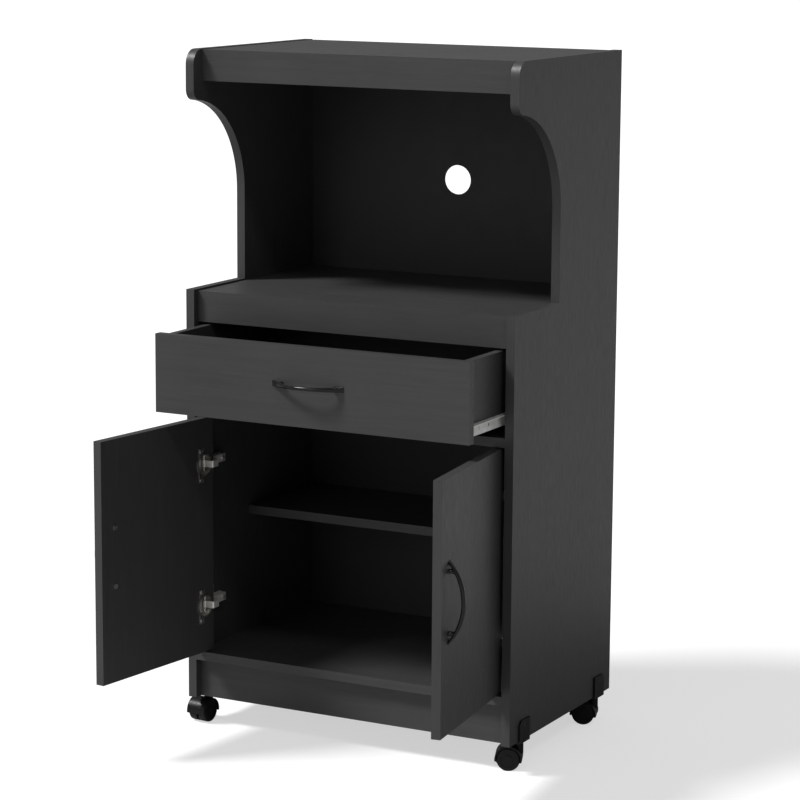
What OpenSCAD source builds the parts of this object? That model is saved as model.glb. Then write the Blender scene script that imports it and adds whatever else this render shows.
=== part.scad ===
// Kitchen storage cart: a two-door, one-drawer base on casters, with an open hutch on top.
// Origin: on the floor, under the centre of the cabinet. +Z up, the doors face -Y.
// The drawer stands part open and both doors stand open; their joints count from there.

/* [Cabinet] */
// Overall width across the side panels
cabinet_w = 600; // [500:5:720]
// Overall depth of the base, back panel included
cabinet_d = 395; // [330:1:480]
// Height of the side panels of the base
base_side_h = 693; // [640:1:840]
// Thickness of every board except the drawer box
board_t = 15; // [13:0.5:19]
// Thickness of the hardboard back panels
back_t = 3; // [2.5:0.5:6]
// How far a back panel stays inside the outline of the sides
back_inset = 1.5; // [0.5:0.5:4]
// How far the worktop lies below the top edges of the base sides
worktop_drop = 3; // [0.5:0.5:8]
// Height of the aprons under the worktop and the hutch top
apron_h = 51; // [30:1:80]
// How far the worktop apron stands back from the front edges
apron_recess = 12; // [4:1:30]
// Height of the plinth below the floor panel
plinth_h = 66; // [50:1:90]
// How far the plinth stands back from the front edges
plinth_recess = 15; // [4:1:30]

/* [Hutch] */
// Height of the hutch side panels
hutch_h = 392; // [330:1:520]
// How far the front of the hutch stands back from the base
hutch_setback = 3; // [0:1:12]
// Depth of the straight lower part of the hutch sides, back panel included
hutch_arm_d = 233; // [190:1:290]
// Height of the nose at the upper front corner of the hutch sides
nose_h = 82; // [60:1:95]
// Radius at the top of the nose
nose_top_r = 25; // [10:1:35]
// Radius at the bottom of the nose
nose_low_r = 18; // [8:1:22]
// How far the hutch top lies below the top edges of its sides
top_drop = 1; // [0.5:0.5:6]
// How far the hutch apron stands back from the nose
hutch_apron_recess = 27; // [10:1:40]
// Diameter of the cable hole in the hutch back
cable_hole_d = 50; // [30:1:60]
// Height of the cable hole's centre above the top of the base
cable_hole_up = 162; // [80:1:220]

/* [Shelf] */
// Depth of the loose shelf
shelf_d = 220; // [150:1:270]
// Height of the shelf's upper face above the floor panel
shelf_up = 218; // [120:1:260]
// Side play of the shelf
shelf_play = 1; // [0.5:0.25:2]
// Diameter of a shelf pin
shelf_pin_d = 5; // [4:0.5:6]
// Length of a shelf pin inside the panel, and again outside it
shelf_pin_l = 8; // [6:1:10]

/* [Drawer] */
// Height of the drawer front
drawer_front_h = 128.5; // [105:0.5:150]
// Gap round the inset drawer front, and above it
front_gap = 2; // [1:0.5:4]
// Gap between the drawer front and the divider under it
drawer_floor_gap = 9.5; // [3:0.5:20]
// How far the drawer stands open
drawer_open = 121; // [0:1:190]
// Thickness of the drawer sides and back
drawer_board_t = 12; // [10:0.5:15]
// How far the drawer sides end below the top of the front
drawer_side_drop = 2; // [0:0.5:20]
// Height of the drawer sides above the bottom of the front
drawer_side_rise = 9; // [6:0.5:20]
// Thickness of the drawer bottom
drawer_bottom_t = 3; // [2.5:0.5:5]
// Height of the drawer bottom above the lower edges of the sides
drawer_bottom_up = 14; // [12:0.5:20]
// Depth of the grooves that hold the drawer bottom
groove_depth = 6; // [3:0.5:7]

/* [Slides] */
// Width of the space between drawer side and cabinet side
slide_space = 12.5; // [12.5:0.5:14]
// Thickness of the slide steel
slide_t = 1.2; // [1:0.1:1.5]
// Diameter of a slide roller
roller_d = 15; // [13:0.5:16]
// Width of a slide roller
roller_w = 6.5; // [5:0.5:7]
// Diameter of a roller's pin
roller_pin_d = 4; // [3:0.5:5]

/* [Doors] */
// Gap above and below a door
door_gap_v = 2.5; // [1.5:0.5:5]
// Gap beside a door, and between the doors
door_gap = 2; // [2:0.5:3]
// How far the left door stands open, in degrees
door_left_open = 97; // [0:1:100]
// How far the right door stands open, in degrees
door_right_open = 97; // [0:1:100]
// Distance of a door handle from the door's free edge
handle_edge = 32; // [16:1:60]
// How far a door handle sits above the door's middle
handle_up = 7; // [-40:1:40]

/* [Hinges] */
// Height of a hinge above or below the door's middle
hinge_half_spacing = 120; // [90:1:140]
// Distance of the hinge axis from the door's edge
hinge_inset = 12; // [10:0.5:13]
// Distance of the hinge axis behind the door's outer face
hinge_axis_depth = 6; // [5.5:0.25:6.5]
// Diameter of the hinge cup
cup_d = 35; // [35:1:40]
// Distance of the cup's centre from the door's edge
cup_edge = 22.5; // [21.5:0.5:24]
// Diameter of the hinge pin
hinge_pin_d = 3; // [2.5:0.25:3.5]

/* [Handles] */
// Overall length of a bow handle
handle_l = 130; // [116:1:170]
// Distance between the handle's screws
handle_screw_spacing = 96; // [64:32:96]
// How far a handle stands out
handle_out = 27; // [24:1:40]
// Thickness of the bow at its middle
handle_t = 7; // [5:0.5:9]
// Height of the bow at its ends
handle_w = 9.5; // [9.5:0.5:16]
// Height of the bow at its middle
handle_waist = 6; // [5:0.5:9]
// Diameter of a handle screw
handle_screw_d = 4; // [3:0.5:5]

/* [Casters] */
// Height of the side panels above the floor
caster_h = 50; // [48:1:70]
// Diameter of a caster wheel
wheel_d = 38; // [32:1:40]
// Width of one wheel of a pair
wheel_w = 14; // [10:0.5:18]
// Distance of the wheel axle from the stem axis
caster_trail = 16; // [10:0.5:20]
// Diameter of the caster stem
stem_d = 8; // [6:0.5:8]
// Gap between a front caster bracket and the plinth
bracket_gap = 2; // [1:0.5:40]
// Depth of a caster bracket along the side panel
bracket_l = 38; // [30:1:50]
// Height of a caster bracket on the outer face of the panel
bracket_h = 38; // [30:1:50]
// Thickness of a caster bracket
bracket_t = 3; // [2:0.5:4]

/* [Fittings] */
// Diameter of a cam lock
cam_d = 15; // [12:0.5:15]
// Distance of a cam lock's centre from the panel's end
cam_edge = 34; // [24:1:40]
// Diameter of a wood dowel
dowel_d = 8; // [6:0.5:8]
// Length of a wood dowel
dowel_l = 30; // [24:1:36]
// Diameter of the shank of a euro screw
euro_d = 5; // [4:0.5:5]
// Length of the shank of a euro screw
euro_l = 11; // [9:0.5:12]

/* [Hidden] */

$fn = 64;
// Overcut that keeps a cut clear of the face it goes through
over = 1;
// Radial clearance of a pin that turns in its hole
run_fit = 0.05;
// Radial clearance of a fastener in its drilled hole
drill_fit = 0.06;
// Clearance between faces that slide past each other
slide_fit = 0.3;

laminate = "#3b3b3d";
hardboard = "#2f2e2e";
zinc = "#b9b7ac";
white_steel = "#d8d8d6";
black_plastic = "#141414";
birch = "#c9a877";

// Main planes
front_y = -cabinet_d / 2;
rear_y = cabinet_d / 2;
back_y = rear_y - back_t;
outer_x = cabinet_w / 2;
inner_x = outer_x - board_t;
base_top = caster_h + base_side_h;
worktop_z = base_top - worktop_drop;
apron_y = front_y + apron_recess;
apron_z = worktop_z - apron_h;
plinth_y = front_y + plinth_recess;
floor_z = caster_h + plinth_h + board_t;
hutch_top_z = base_top + hutch_h;
hutch_front_y = front_y + hutch_setback;
hutch_panel_z = hutch_top_z - top_drop;
hutch_apron_y = hutch_front_y + hutch_apron_recess;
hutch_arm_y = rear_y - hutch_arm_d;
curve_r = hutch_arm_y - hutch_front_y;
shelf_z = floor_z + shelf_up;

// Drawer, in its closed place
drawer_front_z1 = apron_z - front_gap;
drawer_front_z0 = drawer_front_z1 - drawer_front_h;
divider_z = drawer_front_z0 - drawer_floor_gap;
box_y0 = front_y + board_t;
box_z0 = drawer_front_z0 + drawer_side_rise;
box_z1 = drawer_front_z1 - drawer_side_drop;
box_x = inner_x - slide_space;
// Slides come in lengths of 50 mm steps, with room left behind them
slide_step = 50;
slide_rear_room = 10;
slide_l = slide_step * floor((back_y - box_y0 - slide_rear_room) / slide_step);
box_y1 = box_y0 + slide_l;
drawer_bottom_z = box_z0 + drawer_bottom_up;

// Slide profiles: the runner's flange rides on the channel's roller, and the
// runner's own roller runs inside the channel
runner_h = roller_d + 2 * slide_fit + 2 * slide_t;
runner_free_hole_d = 5;
channel_room = 1;
channel_h = runner_h + channel_room + slide_t;
channel_lip = slide_space - 2.5;
runner_lip = slide_space - 3;
roller_z = box_z0 + slide_t + slide_fit + roller_d / 2;
roller_inset = 15;
channel_y0 = box_y0 + 2;
channel_y1 = box_y1;
channel_screws = [37, 133, 229];
runner_screws = [37, 165, 261];
runner_free_hole = 71.5;
runner_hook = 12;
drawer_screw_d = 3.5;
drawer_screw_l = 9;
screw_head_d = 7;

// Doors, in their closed place
door_z0 = floor_z + door_gap_v;
door_z1 = divider_z - board_t - door_gap_v;
door_w = inner_x - door_gap - door_gap / 2;
door_edge_x = -inner_x + door_gap;
door_mid_z = (door_z0 + door_z1) / 2;
hinge_x = door_edge_x + hinge_inset;
hinge_y = front_y + hinge_axis_depth;
hinge_heights = [door_mid_z - hinge_half_spacing, door_mid_z + hinge_half_spacing];
pin_below_face = board_t - hinge_axis_depth;

// Hinge: the arm leaves the cup, passes round the door's swinging corner and
// reaches back to the plate on the side panel
cup_wall = 1;
cup_floor = 0.5;
cup_depth = board_t - 2.1;
cup_rim_t = 1.2;
cup_rim_w = 1.5;
cup_ear = [12, 58];
cup_ear_x = 8.5;
cup_screw_z = 24;
cup_head_t = 1.2;
cup_screw_x = 9.5;
arm_t = 2;
arm_h = 13;
neck_h = 11;
neck_x = 17.5;
neck_bend = 3;
neck_bend_in = 2;
neck_chamfer = 0.5;
eye_r = 2.6;
door_corner_r = norm([hinge_inset, pin_below_face]);
arm_y = door_corner_r + 2.4;
plate_t = 3.5;
wing_t = 2;
plate_x = -hinge_inset - door_gap;
plate_y = [arm_y, arm_y + 52];
arm_rear = arm_y + 48;
wing_y = arm_y + 24;
wing_l = 12;
wing_h = 46;
wing_screw_z = 16;
channel_x = 1;
arm_screws_y = [arm_y + 12, arm_y + 40];
arm_screw_d = 4;
arm_head_d = 7;
arm_head_t = 2.2;

// Handles
foot_r = 4.5;
foot_l = 12;
bow_end = 6;
handle_screw_grip = 9;

// Casters
wheel_r = wheel_d / 2;
hood_gap = 0.8;
hood_t = 2.4;
hood_r = wheel_r + hood_gap + hood_t;
hood_web_t = 4;
wheel_gap = 0.6;
axle_d = 5;
wheel_face_t = 3.5;
wheel_edge_r = 2.5;
hood_half_w = hood_web_t / 2 + wheel_gap + wheel_w + 1;
hood_low = 3;
stem_x = outer_x - board_t / 2;
stem_edge = plinth_recess + board_t + bracket_gap + bracket_l / 2;
stem_y = [front_y + stem_edge, rear_y - stem_edge];
socket_d = stem_d + 2.8;
socket_l = 24;
bracket_base_t = 3.5;
bracket_z0 = caster_h - bracket_base_t;
bracket_inner_h = 24;
bracket_chamfer = 7;
bracket_screw_up = 31;
boss_d = 15;
hood_top_gap = 0.5;
stem_top = caster_h + socket_l - 2;
stem_in_hood = 10;
// How each caster happens to be turned about its stem
caster_yaw = [[85, 22], [40, 16]];

// Fittings
cam_depth = board_t - 2.5;
cam_hole_d = 8;
cam_mouth_d = 7.2;
cam_shaft_r = 3;
cam_thread_r = 2.4;
cam_slot_w = 1.4;
cam_head_r = 3.3;
cam_thread_l = 11;
dowel_in_side = 11;
panel_cams_y = [front_y + 68, back_y - 45];
panel_dowels_y = [front_y + 108, back_y - 85];
hutch_dowels_y = [hutch_arm_y + 40, back_y - 62];
hutch_cams_y = [hutch_apron_y + 70, back_y - 45];
hutch_panel_dowels_y = [hutch_apron_y + 110, back_y - 85];
rail_cam_drop = 6;
rail_cam_z = caster_h + plinth_h / 2;
recess_l = 4.2;
recess_w = 0.9;
recess_depth = 0.8;
nail_d = 1.6;
nail_head_d = 4.5;
nail_head_t = 0.6;
nail_l = 14;
nail_end = 48;

// Boards that run between the sides: [height of the middle plane, cam y list, dowel y list]
panel_rows = [
  [worktop_z - board_t / 2, panel_cams_y, panel_dowels_y],
  [divider_z - board_t / 2, panel_cams_y, panel_dowels_y],
  [floor_z - board_t / 2, panel_cams_y, panel_dowels_y],
  [hutch_panel_z - board_t / 2, hutch_cams_y, hutch_panel_dowels_y]
];
// Upright boards between the sides: [y of the middle plane, height of the cam,
// +1 where the cam is on the rear face and -1 where it is on the front face]
rail_rows = [
  [plinth_y + board_t / 2, rail_cam_z, 1],
  [back_y - board_t / 2, rail_cam_z, -1],
  [apron_y + board_t / 2, apron_z + apron_h / 2 - rail_cam_drop, 1],
  [hutch_apron_y + board_t / 2, hutch_panel_z - apron_h / 2 - rail_cam_drop, 1]
];

// ---------- Helpers ----------

// A box from its lowest corner to its highest corner
module box(low, high) {
  translate(low)
    cube(high - low);
}

// The children, written for the left side, on side -1 (left) or +1 (right)
module on_side(side) {
  if (side < 0)
    children();
  else
    mirror([1, 0, 0])
      children();
}

// A cylinder along +X from a point
module rod_x(from, r, l) {
  translate(from)
    rotate([0, 90, 0])
      cylinder(r = r, h = l);
}

// A cylinder along +Y from a point
module rod_y(from, r, l) {
  translate(from)
    rotate([-90, 0, 0])
      cylinder(r = r, h = l);
}

// A cylinder along +Z from a point
module rod_z(from, r, l) {
  translate(from)
    cylinder(r = r, h = l);
}

// Cross recess of a screw head whose face lies at the origin, cut towards -X
module cross_recess() {
  for (turn = [0, 90])
    rotate([turn, 0, 0])
      box([-recess_depth, -recess_l / 2, -recess_w / 2], [over, recess_l / 2, recess_w / 2]);
}

// ---------- Cam fittings, dowels and nails ----------

// Holes for one cam bolt in a left side panel and in the board that meets it
module cam_bolt_hole(y, z) {
  rod_x([-inner_x - cam_thread_l - drill_fit, y, z], cam_thread_r + drill_fit, cam_thread_l + over);
  rod_x([-inner_x, y, z], cam_hole_d / 2, cam_edge);
}

// One cam bolt for the left side
module cam_bolt(y, z) {
  rod_x([-inner_x - cam_thread_l, y, z], cam_thread_r, cam_thread_l);
  rod_x([-inner_x, y, z], cam_shaft_r, cam_edge - cam_d / 2);
  rod_x([-inner_x + cam_edge - cam_d / 2, y, z], cam_head_r, cam_d / 2 - over);
}

// A cam lock whose face lies at the origin, with its body along +Z and the bolt
// entering from -X at the height of the board's middle
module cam_lock_body(d, depth, middle) {
  difference() {
    cylinder(d = d - 2 * drill_fit, h = depth - drill_fit);
    rod_x([-d, 0, middle], cam_mouth_d / 2, d);
    box([-cam_slot_w / 2, -d / 4, -over], [cam_slot_w / 2, d / 4, cam_slot_w]);
  }
}

// Cam pockets in the left half of a level board, cut from its underside
module level_cam_pockets(z, ys) {
  for (y = ys)
    rod_z([-inner_x + cam_edge, y, z - board_t / 2 - over], cam_d / 2, cam_depth + over);
}

// Cam pocket in the left half of an upright board
module upright_cam_pocket(y, z, face) {
  translate([-inner_x + cam_edge, y + face * board_t / 2, z])
    rotate([face * 90, 0, 0])
      translate([0, 0, -over])
        cylinder(d = cam_d, h = cam_depth + over);
}

// A dowel hole or dowel across the joint at the left inner face
module cross_dowel(y, z, grow) {
  rod_x([-inner_x - dowel_in_side - grow, y, z], dowel_d / 2 - drill_fit + grow, dowel_l + 2 * grow);
}

// A dowel hole or dowel across the seam between hutch and base, on the left
module seam_dowel(y, grow) {
  rod_z([-stem_x, y, base_top - dowel_l / 2 - grow], dowel_d / 2 - drill_fit + grow, dowel_l + 2 * grow);
}

// Every joint hole that the left side meets, for boards between the sides
module joint_holes_left() {
  for (row = panel_rows) {
    for (y = row[1])
      cam_bolt_hole(y, row[0]);
    for (y = row[2])
      cross_dowel(y, row[0], drill_fit);
  }
  for (row = rail_rows)
    cam_bolt_hole(row[0], row[1]);
}

// Both ends' joint holes
module joint_holes() {
  for (side = [-1, 1])
    on_side(side)
      joint_holes_left();
}

// Nail places on the left edge of a back panel, and along its bottom or top edge
function nail_heights(z0, z1) = [for (i = [0:3]) z0 + nail_end + i * (z1 - z0 - 2 * nail_end) / 3];
base_nails_z = nail_heights(caster_h, base_top);
hutch_nails_z = nail_heights(base_top, hutch_top_z);
nail_x = outer_x - board_t / 2;
middle_nails_x = [-150, 0, 150];
middle_nails_z = [
  floor_z - board_t / 2, divider_z - board_t / 2, worktop_z - board_t / 2,
  hutch_panel_z - board_t / 2
];

// A nail driven from the rear face of a back panel, or its hole
module back_nail(x, z, grow) {
  rod_y([x, rear_y - nail_l, z], nail_d / 2 + grow, nail_l);
  if (grow == 0)
    rod_y([x, rear_y, z], nail_head_d / 2, nail_head_t);
}

module all_nails(grow) {
  for (side = [-1, 1])
    for (z = concat(base_nails_z, hutch_nails_z))
      back_nail(side * nail_x, z, grow);
  for (x = middle_nails_x)
    for (z = middle_nails_z)
      back_nail(x, z, grow);
}

module cam_bolts() {
  color(zinc)
    for (side = [-1, 1])
      on_side(side) {
        for (row = panel_rows)
          for (y = row[1])
            cam_bolt(y, row[0]);
        for (row = rail_rows)
          cam_bolt(row[0], row[1]);
      }
}

module cam_locks() {
  color(zinc)
    for (side = [-1, 1])
      on_side(side) {
        for (row = panel_rows)
          for (y = row[1])
            translate([-inner_x + cam_edge, y, row[0] - board_t / 2])
              cam_lock_body(cam_d, cam_depth, board_t / 2);
        for (row = rail_rows)
          translate([-inner_x + cam_edge, row[0] + row[2] * board_t / 2, row[1]])
            rotate([row[2] * 90, 0, 0])
              cam_lock_body(cam_d, cam_depth, board_t / 2);
      }
}

module wood_dowels() {
  color(birch)
    for (side = [-1, 1])
      on_side(side) {
        for (row = panel_rows)
          for (y = row[2])
            cross_dowel(y, row[0], 0);
        for (y = hutch_dowels_y)
          seam_dowel(y, 0);
      }
}

module back_nails() {
  color(zinc)
    all_nails(0);
}

// ---------- Euro screws ----------

euro_head_d = 8.2;
euro_head_t = 1.1;

// A euro screw whose head's outer face lies at the origin, driven along -X
module euro_screw_body() {
  difference() {
    rod_x([-euro_head_t, 0, 0], euro_head_d / 2, euro_head_t);
    cross_recess();
  }
  rod_x([-euro_head_t - euro_l, 0, 0], euro_d / 2 - drill_fit, euro_l);
}

// The same screw's hole
module euro_screw_hole() {
  rod_x([-euro_head_t, 0, 0], euro_head_d / 2 + drill_fit, euro_head_t + over);
  rod_x([-euro_head_t - euro_l - drill_fit, 0, 0], euro_d / 2, euro_l + over);
}

// Places of the euro screws that enter the left side panel from inside
module inside_euro_places() {
  for (y = channel_screws)
    translate([-inner_x + slide_t, channel_y0 + y, roller_z])
      children();
  for (z = hinge_heights)
    for (dz = [-wing_screw_z, wing_screw_z])
      translate([-inner_x + wing_t, hinge_y + wing_y, z + dz])
        children();
}

// Places of the euro screws that hold the caster brackets, from outside
module outside_euro_places() {
  for (y = stem_y)
    translate([-outer_x - bracket_t, y, bracket_z0 + bracket_screw_up])
      rotate([0, 0, 180])
        children();
}

module bracket_screws() {
  color(black_plastic)
    for (side = [-1, 1])
      on_side(side)
        outside_euro_places()
          euro_screw_body();
}

// Screws of the slide channels, the hinge plates and the hinge arms
module cabinet_screws() {
  color(zinc)
    for (side = [-1, 1])
      on_side(side) {
        inside_euro_places()
          euro_screw_body();
        hinge_places()
          arm_fixing(0);
      }
}

// ---------- Base cabinet ----------

// Shelf pin holes or pins on the left
module shelf_pins_left(grow) {
  for (y = [back_y - shelf_d + 22, back_y - 28])
    rod_x([-inner_x - shelf_pin_l - grow, y, shelf_z - board_t - shelf_pin_d / 2],
      shelf_pin_d / 2 - drill_fit + grow, 2 * shelf_pin_l + grow);
}

module base_side_blank() {
  difference() {
    box([-outer_x, front_y, caster_h], [-inner_x, back_y, base_top]);
    joint_holes_left();
    for (y = hutch_dowels_y)
      seam_dowel(y, drill_fit);
    shelf_pins_left(drill_fit);
    inside_euro_places()
      euro_screw_hole();
    outside_euro_places()
      euro_screw_hole();
    for (y = stem_y)
      rod_z([-stem_x, y, caster_h - over], socket_d / 2 + drill_fit, socket_l + over + drill_fit);
    all_nails(drill_fit);
  }
}

module base_side_left() {
  color(laminate)
    base_side_blank();
}

module base_side_right() {
  color(laminate)
    on_side(1)
      base_side_blank();
}

// A level board between the sides, from its front edge to the back panel
module level_board(y0, top_z, cams_y) {
  difference() {
    box([-inner_x, y0, top_z - board_t], [inner_x, back_y, top_z]);
    joint_holes();
    for (side = [-1, 1])
      on_side(side)
        level_cam_pockets(top_z - board_t / 2, cams_y);
    all_nails(drill_fit);
  }
}

// An upright board between the sides
module upright_board(y0, z0, z1, cam_z, face) {
  difference() {
    box([-inner_x, y0, z0], [inner_x, y0 + board_t, z1]);
    joint_holes();
    for (side = [-1, 1])
      on_side(side)
        upright_cam_pocket(y0 + board_t / 2, cam_z, face);
  }
}

module worktop() {
  color(laminate)
    level_board(apron_y + board_t, worktop_z, panel_cams_y);
}

module worktop_apron() {
  color(laminate)
    upright_board(apron_y, apron_z, worktop_z, rail_rows[2][1], 1);
}

module divider_panel() {
  color(laminate)
    level_board(front_y, divider_z, panel_cams_y);
}

module cabinet_floor() {
  color(laminate)
    level_board(front_y, floor_z, panel_cams_y);
}

module plinth_front() {
  color(laminate)
    upright_board(plinth_y, caster_h, caster_h + plinth_h, rail_cam_z, 1);
}

module rear_rail() {
  color(laminate)
    upright_board(back_y - board_t, caster_h, caster_h + plinth_h, rail_cam_z, -1);
}

module cabinet_shelf() {
  color(laminate)
    box([-inner_x + shelf_play, back_y - shelf_d, shelf_z - board_t],
      [inner_x - shelf_play, back_y - shelf_play, shelf_z]);
}

module shelf_pins() {
  color(zinc)
    for (side = [-1, 1])
      on_side(side)
        shelf_pins_left(0);
}

// A back panel between two heights
module back_panel(z0, z1) {
  difference() {
    box([-outer_x + back_inset, back_y, z0], [outer_x - back_inset, rear_y, z1]);
    all_nails(drill_fit);
  }
}

module cabinet_back() {
  color(hardboard)
    back_panel(caster_h + back_inset, base_top);
}

// ---------- Hutch ----------

// Outline of a hutch side in the Y-Z plane, drawn with Y along X and Z along Y
module hutch_outline() {
  curve_z = hutch_top_z - nose_h - curve_r;
  // The low corner of the nose is an arc that touches the front edge and the curve
  fillet_y = hutch_front_y + nose_low_r;
  fillet_z = curve_z + sqrt(pow(curve_r + nose_low_r, 2) - pow(nose_low_r, 2));
  touch = curve_r / (curve_r + nose_low_r);
  touch_y = hutch_front_y + nose_low_r * touch;
  touch_z = curve_z + (fillet_z - curve_z) * touch;
  difference() {
    translate([hutch_front_y, base_top])
      square([back_y - hutch_front_y, hutch_h]);
    // Concave sweep under the nose
    translate([hutch_front_y, curve_z])
      circle(r = curve_r, $fn = 160);
    translate([hutch_front_y - over, base_top - over])
      square([curve_r + over, curve_z - base_top + over]);
    // Low corner of the nose
    polygon([
      [hutch_front_y - over, curve_z], [hutch_front_y - over, fillet_z], [fillet_y, fillet_z],
      [touch_y, touch_z], [touch_y, curve_z]
    ]);
    // Top corner of the nose
    translate([hutch_front_y - over, hutch_top_z - nose_top_r])
      square([nose_top_r + over, nose_top_r + over]);
  }
  translate([fillet_y, fillet_z])
    circle(r = nose_low_r);
  translate([hutch_front_y + nose_top_r, hutch_top_z - nose_top_r])
    circle(r = nose_top_r);
}

module hutch_side_blank() {
  difference() {
    translate([-outer_x, 0, 0])
      rotate([90, 0, 90])
        linear_extrude(height = board_t)
          hutch_outline();
    joint_holes_left();
    for (y = hutch_dowels_y)
      seam_dowel(y, drill_fit);
    all_nails(drill_fit);
  }
}

module hutch_side_left() {
  color(laminate)
    hutch_side_blank();
}

module hutch_side_right() {
  color(laminate)
    on_side(1)
      hutch_side_blank();
}

module hutch_top() {
  color(laminate)
    level_board(hutch_apron_y + board_t, hutch_panel_z, hutch_cams_y);
}

module hutch_apron() {
  color(laminate)
    upright_board(hutch_apron_y, hutch_panel_z - apron_h, hutch_panel_z, rail_rows[3][1], 1);
}

module hutch_back() {
  color(hardboard)
    difference() {
      back_panel(base_top, hutch_top_z - back_inset);
      rod_y([0, back_y - over, base_top + cable_hole_up], cable_hole_d / 2, back_t + 2 * over);
    }
}

// ---------- Drawer slides ----------

// Cross-section of the left channel, from the side panel towards the drawer
module channel_profile() {
  polygon([
    [0, 0], [channel_lip, 0], [channel_lip, slide_t], [slide_t, slide_t],
    [slide_t, channel_h - slide_t], [channel_lip, channel_h - slide_t],
    [channel_lip, channel_h], [0, channel_h]
  ]);
}

// Cross-section of the left runner, from the drawer side towards the cabinet
module runner_profile() {
  polygon([
    [runner_hook, -slide_t], [runner_hook, 0], [0, 0], [0, runner_h],
    [-runner_lip, runner_h], [-runner_lip, runner_h - slide_t],
    [-slide_t, runner_h - slide_t], [-slide_t, -slide_t]
  ]);
}

// A profile drawn in X-Z, run along +Y from a point
module along_y(from, l) {
  translate(from)
    rotate([90, 0, 0])
      mirror([0, 0, 1])
        linear_extrude(height = l)
          children();
}

roller_gap = 1.5;

// Channel fixed to the left side panel, with the pin of its front roller
module slide_channel_blank() {
  difference() {
    along_y([-inner_x, channel_y0, box_z0], channel_y1 - channel_y0)
      channel_profile();
    inside_euro_places()
      euro_screw_hole();
  }
  rod_x([-inner_x + slide_t, channel_y0 + roller_inset, roller_z], roller_pin_d / 2,
    roller_gap + roller_w);
}

module slide_channel_left() {
  color(white_steel)
    slide_channel_blank();
}

module slide_channel_right() {
  color(white_steel)
    on_side(1)
      slide_channel_blank();
}

// Places of the runner's screws on the left drawer side
module runner_screw_places() {
  for (y = runner_screws)
    if (y < slide_l - roller_inset - roller_d / 2)
      translate([-box_x - slide_t, box_y0 + y, roller_z])
        children();
}

// A drawer screw driven along +X from the runner's outer face, or its hole
module drawer_screw_x(grow) {
  rod_x([0, 0, 0], screw_head_d / 2 + grow, slide_t);
  rod_x([slide_t, 0, 0], drawer_screw_d / 2 + grow, drawer_screw_l + grow);
}

// Runner fixed to the left drawer side, with the pin of its rear roller
module drawer_runner_blank() {
  difference() {
    along_y([-box_x, box_y0, box_z0], slide_l)
      runner_profile();
    runner_screw_places()
      translate([-over, 0, 0])
        rod_x([0, 0, 0], screw_head_d / 2 + drill_fit, slide_t + 2 * over);
    rod_x([-box_x - slide_t - over, box_y0 + runner_free_hole, roller_z],
      runner_free_hole_d / 2, slide_t + 2 * over);
  }
  rod_x([-box_x - slide_t - roller_gap - roller_w, box_y1 - roller_inset, roller_z],
    roller_pin_d / 2, roller_gap + roller_w);
}

// A roller along +X from a point
module slide_roller(from) {
  difference() {
    rod_x(from, roller_d / 2, roller_w);
    rod_x(from - [over, 0, 0], roller_pin_d / 2 + run_fit, roller_w + 2 * over);
  }
}

module channel_roller_blank() {
  slide_roller([-inner_x + slide_t + roller_gap, channel_y0 + roller_inset, roller_z]);
}

module runner_roller_blank() {
  slide_roller([-box_x - slide_t - roller_gap - roller_w, box_y1 - roller_inset, roller_z]);
}

module channel_roller_left() {
  color(white_steel)
    channel_roller_blank();
}

module channel_roller_right() {
  color(white_steel)
    on_side(1)
      channel_roller_blank();
}

// ---------- Drawer ----------

// The drawer's pieces are written closed; this draws them where the drawer stands
module drawer_place() {
  translate([0, -drawer_open, 0])
    children();
}

// The drawer bottom, or the grooves it slides in
module drawer_bottom_slab(side_fit, face_fit) {
  x1 = box_x - drawer_board_t + groove_depth - slide_fit + side_fit;
  y0 = box_y0 - groove_depth + slide_fit - side_fit;
  box([-x1, y0, drawer_bottom_z - face_fit],
    [x1, box_y1 + side_fit, drawer_bottom_z + drawer_bottom_t + face_fit]);
}

drawer_back_z0 = drawer_bottom_z + drawer_bottom_t;
drawer_back_screws_z = [drawer_back_z0 + 22, box_z1 - 22];
back_screw_l = 28;
drawer_handle_up = 2.5;
drawer_handle_z = (drawer_front_z0 + drawer_front_z1) / 2 + drawer_handle_up;
drawer_cams_z = [drawer_bottom_z + 24, box_z1 - 20];
drawer_cam_d = 12;
drawer_cam_depth = drawer_board_t - 2;
drawer_cam_edge = 24;
drawer_cam_thread_l = 10;

// Screws through the left drawer side into the drawer back, or their holes
module drawer_back_screws(grow) {
  for (z = drawer_back_screws_z)
    rod_x([-box_x, box_y1 - drawer_board_t / 2, z], drawer_screw_d / 2 + grow, back_screw_l + grow);
}

// Holes for the cam bolts between the drawer front and the end of the left drawer side
module drawer_cam_holes() {
  for (z = drawer_cams_z) {
    translate([-box_x + drawer_board_t / 2, box_y0, z]) {
      rod_y([0, -drawer_cam_thread_l - drill_fit, 0], cam_thread_r + drill_fit, drawer_cam_thread_l + over);
      rod_y([0, 0, 0], cam_hole_d / 2, drawer_cam_edge);
    }
    rod_x([-box_x + drawer_board_t - drawer_cam_depth, box_y0 + drawer_cam_edge, z],
      drawer_cam_d / 2, drawer_cam_depth + over);
  }
}

// The cam bolts and cam locks in those holes
module drawer_cams() {
  for (z = drawer_cams_z) {
    translate([-box_x + drawer_board_t / 2, box_y0, z]) {
      rod_y([0, -drawer_cam_thread_l, 0], cam_thread_r, drawer_cam_thread_l);
      rod_y([0, 0, 0], cam_shaft_r, drawer_cam_edge - drawer_cam_d / 2);
      rod_y([0, drawer_cam_edge - drawer_cam_d / 2, 0], cam_head_r, drawer_cam_d / 2 - over);
    }
    translate([-box_x + drawer_board_t, box_y0 + drawer_cam_edge, z])
      rotate([0, -90, 0])
        rotate([0, 0, 90])
          cam_lock_body(drawer_cam_d, drawer_cam_depth, drawer_board_t / 2);
  }
}

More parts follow.
